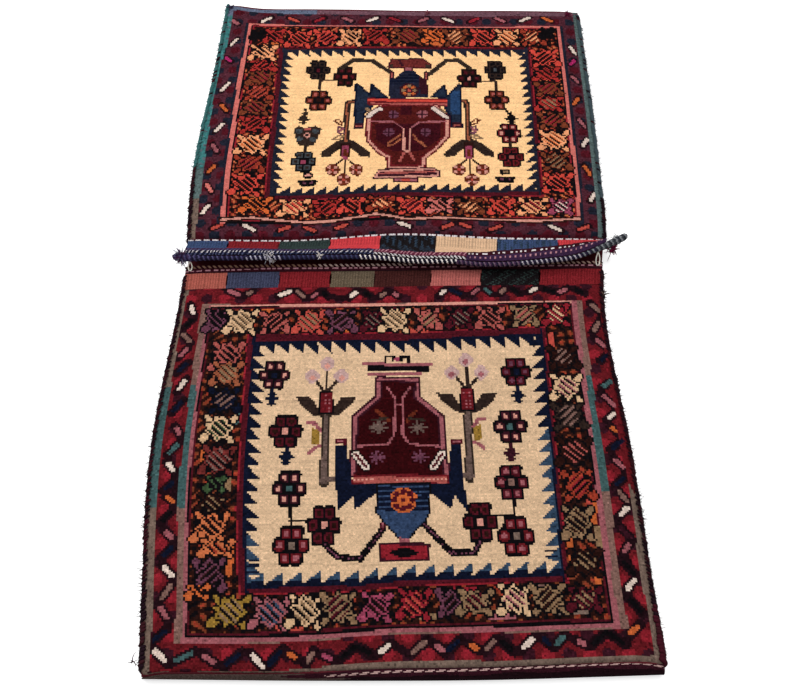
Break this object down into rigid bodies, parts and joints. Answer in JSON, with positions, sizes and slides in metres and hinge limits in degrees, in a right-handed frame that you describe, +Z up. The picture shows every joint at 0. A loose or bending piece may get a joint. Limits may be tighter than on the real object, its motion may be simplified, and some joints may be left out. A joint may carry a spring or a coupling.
{
  "type": "kilim saddle bag",
  "caption": "Woven wool saddle bag lying flat: two patterned pile pouches in one folded strip, slit closure bands, a rolled upper hem and laced sides.",
  "frame": {"origin": "on the ground under the middle of the bag as it lies flat", "axes": "+X across the bag to the right, +Y along the bag from the lower pouch to the upper pouch, +Z up out of the ground"},
  "size_m": [0.6541, 1.1698, 0.043],
  "materials": {
    "wool_strip": "knotted wool pile and plain flat weave",
    "goat_hair_lacing": "coarse oversewn goat hair",
    "two_tone_cord": "wound dark and pale wool",
    "maroon_cord": "wound wool",
    "white_wool": "spun wool yarn"
  },
  "bodies": {
    "root": {"woven_strip": "wool_strip", "lower_left_lacing": "goat_hair_lacing", "lower_right_lacing": "goat_hair_lacing", "upper_left_lacing": "goat_hair_lacing", "upper_right_lacing": "goat_hair_lacing", "upper_mouth_cord": "two_tone_cord", "lower_mouth_cord": "maroon_cord", "left_mouth_tie": "white_wool", "right_mouth_tie": "white_wool"}
  },
  "joints": []
}
